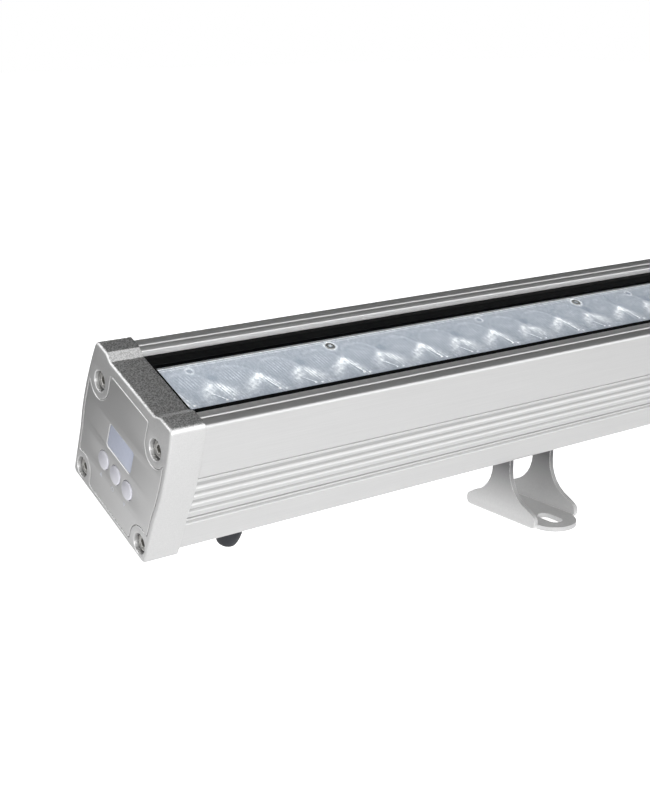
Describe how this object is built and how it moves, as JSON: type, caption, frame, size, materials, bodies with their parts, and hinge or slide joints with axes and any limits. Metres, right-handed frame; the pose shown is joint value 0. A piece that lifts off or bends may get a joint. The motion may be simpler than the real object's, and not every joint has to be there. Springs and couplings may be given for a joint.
{
  "type": "wall washer light",
  "caption": "Long sealed aluminium lamp with a row of lenses under glass, a control end cap with window and push buttons, and tilting slotted brackets that slide in a track.",
  "frame": {"origin": "middle of the first bracket's sole, on the mounting surface, under its pivot", "axes": "+X along the lamp, from the control end to the far end; +Z out of the mounting surface; the glass leans towards -Y"},
  "size_m": [1.0012, 0.1119, 0.1535],
  "materials": {
    "extruded_aluminium": "fine satin, silver anodised",
    "cast_aluminium": "sandblasted casting, silver lacquer",
    "face_aluminium": "fine satin",
    "seal_rubber": "matt silicone",
    "steel_screws": "bright stainless steel",
    "clear_glass": "clear toughened glass",
    "black_rubber": "matt silicone",
    "lens_plastic": "frosted clear plastic",
    "white_board": "white solder mask",
    "light_source": "yellow phosphor",
    "unit_case": "plain",
    "terminal_plastic": "moulded",
    "brown_wire": "wire cover",
    "red_wire": "wire cover",
    "blue_wire": "wire cover",
    "green_board": "green solder mask",
    "brass_spacers": "turned",
    "dark_plastic": "moulded",
    "window_plastic": "smooth tinted window",
    "button_plastic": "smooth",
    "gland_plastic": "moulded",
    "slider_aluminium": "sawn and milled",
    "white_paint": "white powder coat"
  },
  "bodies": {
    "lamp": {"housing": "extruded_aluminium", "left_cap": "cast_aluminium", "right_cap": "cast_aluminium", "control_plate": "face_aluminium", "blank_plate": "face_aluminium", "left_cap_seal": "seal_rubber", "right_cap_seal": "seal_rubber", "cap_screws": "steel_screws", "glass_cover": "clear_glass", "glass_gasket": "black_rubber", "left_lens_module": "lens_plastic", "middle_lens_module": "lens_plastic", "right_lens_module": "lens_plastic", "lens_screws": "steel_screws", "left_light_board": "white_board", "middle_light_board": "white_board", "right_light_board": "white_board", "light_sources": "light_source", "power_unit": "unit_case", "power_unit_screws": "steel_screws", "supply_terminal": "terminal_plastic", "link_terminal": "terminal_plastic", "supply_wires": "brown_wire", "link_wires": "brown_wire", "light_wires": "red_wire", "control_wires": "blue_wire", "control_board": "green_board", "board_spacers": "brass_spacers", "display_module": "dark_plastic", "display_window": "window_plastic", "key_switches": "dark_plastic", "supply_gland_body": "gland_plastic", "supply_gland_nut": "gland_plastic", "supply_gland_grip": "black_rubber", "supply_gland_locknut": "gland_plastic", "link_gland_body": "gland_plastic", "link_gland_nut": "gland_plastic", "link_gland_grip": "black_rubber", "link_gland_locknut": "gland_plastic"},
    "rear_button": {"rear_button": "button_plastic"},
    "middle_button": {"middle_button": "button_plastic"},
    "front_button": {"front_button": "button_plastic"},
    "left_slider": {"left_slider": "slider_aluminium", "left_grub_screws": "steel_screws"},
    "left_bracket": {"left_bracket": "white_paint", "left_pivot_bolt": "steel_screws", "left_pivot_nut": "steel_screws", "left_washers": "steel_screws"},
    "right_slider": {"right_slider": "slider_aluminium", "right_grub_screws": "steel_screws"},
    "right_bracket": {"right_bracket": "white_paint", "right_pivot_bolt": "steel_screws", "right_pivot_nut": "steel_screws", "right_washers": "steel_screws"}
  },
  "joints": [
    {"name": "rear_button_press", "type": "slide", "parent": "lamp", "child": "rear_button", "axis": [1, 0, 0], "range_m": [0, 0.0008], "stiffness_N_per_m": 1500, "springref_m": -0.0004},
    {"name": "middle_button_press", "type": "slide", "parent": "lamp", "child": "middle_button", "axis": [1, 0, 0], "range_m": [0, 0.0008], "stiffness_N_per_m": 1500, "springref_m": -0.0004},
    {"name": "front_button_press", "type": "slide", "parent": "lamp", "child": "front_button", "axis": [1, 0, 0], "range_m": [0, 0.0008], "stiffness_N_per_m": 1500, "springref_m": -0.0004},
    {"name": "left_bracket_slide", "type": "slide", "parent": "lamp", "child": "left_slider", "axis": [1, 0, 0], "range_m": [-0.195, 0.17]},
    {"name": "left_bracket_tilt", "type": "hinge", "parent": "left_slider", "child": "left_bracket", "pos_m": [0, 0, 0.054], "axis": [1, 0, 0], "range_deg": [-52.5, 97.5]},
    {"name": "right_bracket_slide", "type": "slide", "parent": "lamp", "child": "right_slider", "axis": [1, 0, 0], "range_m": [-0.17, 0.195]},
    {"name": "right_bracket_tilt", "type": "hinge", "parent": "right_slider", "child": "right_bracket", "pos_m": [0.41, 0, 0.054], "axis": [1, 0, 0], "range_deg": [-52.5, 97.5]}
  ]
}
